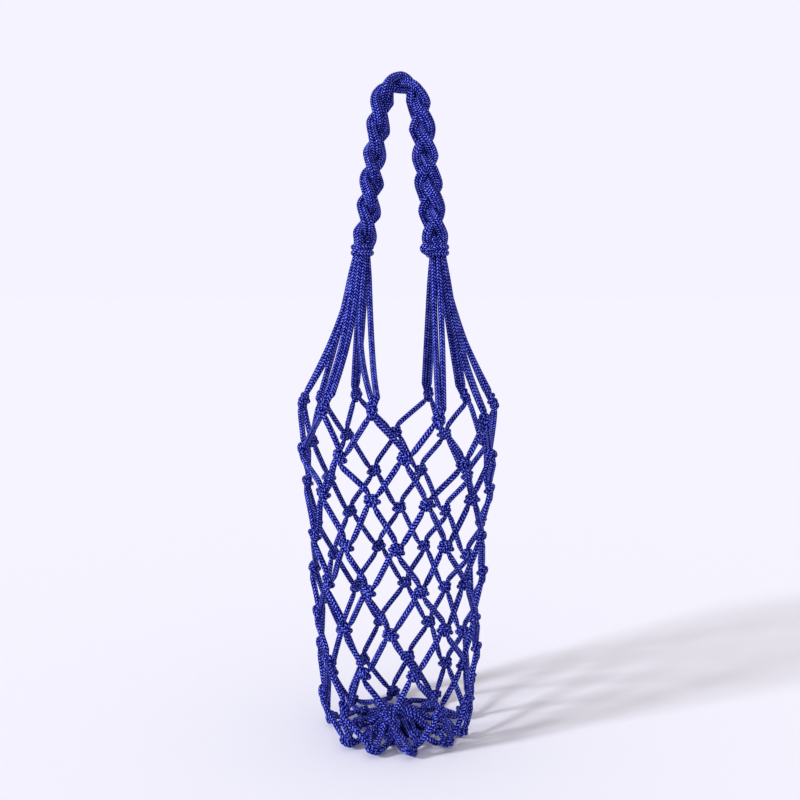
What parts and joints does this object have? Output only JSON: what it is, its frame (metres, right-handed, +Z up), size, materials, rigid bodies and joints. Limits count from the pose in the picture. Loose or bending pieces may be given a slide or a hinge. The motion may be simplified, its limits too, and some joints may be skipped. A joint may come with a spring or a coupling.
{
  "type": "mesh cup holder bag",
  "caption": "Open diamond net of knotted round cord that carries a tumbler, hung from wrapped collars and a plaited arch handle that folds to either side.",
  "frame": {"origin": "on the ground under the middle of the foot", "axes": "+Z up towards the handle, -Y the front, the handle's arch spans left to right along X"},
  "size_m": [0.1052, 0.1048, 0.3395],
  "materials": {
    "cord": "braided polyester cord, matt with a faint sheen"
  },
  "bodies": {
    "net": {"net_cord_01": "cord", "net_cord_02": "cord", "net_cord_03": "cord", "net_cord_04": "cord", "net_cord_05": "cord", "net_cord_06": "cord", "net_cord_07": "cord", "net_cord_08": "cord", "net_cord_09": "cord", "net_cord_10": "cord", "net_cord_11": "cord", "net_cord_12": "cord", "net_cord_13": "cord", "net_cord_14": "cord", "net_cord_15": "cord", "net_cord_16": "cord", "net_cord_17": "cord", "net_cord_18": "cord", "net_cord_19": "cord", "net_cord_20": "cord", "base_ring": "cord"},
    "handle": {"handle_cord_01": "cord", "handle_cord_02": "cord", "handle_cord_03": "cord", "handle_cord_04": "cord", "handle_cord_05": "cord", "handle_cord_06": "cord", "handle_cord_07": "cord", "handle_cord_08": "cord", "handle_cord_09": "cord", "handle_cord_10": "cord", "left_wrap": "cord", "right_wrap": "cord"}
  },
  "joints": [
    {"name": "handle_fold", "type": "hinge", "parent": "net", "child": "handle", "pos_m": [0, 0, 0.24362], "axis": [1, 0, 0], "range_deg": [-95, 95]}
  ]
}
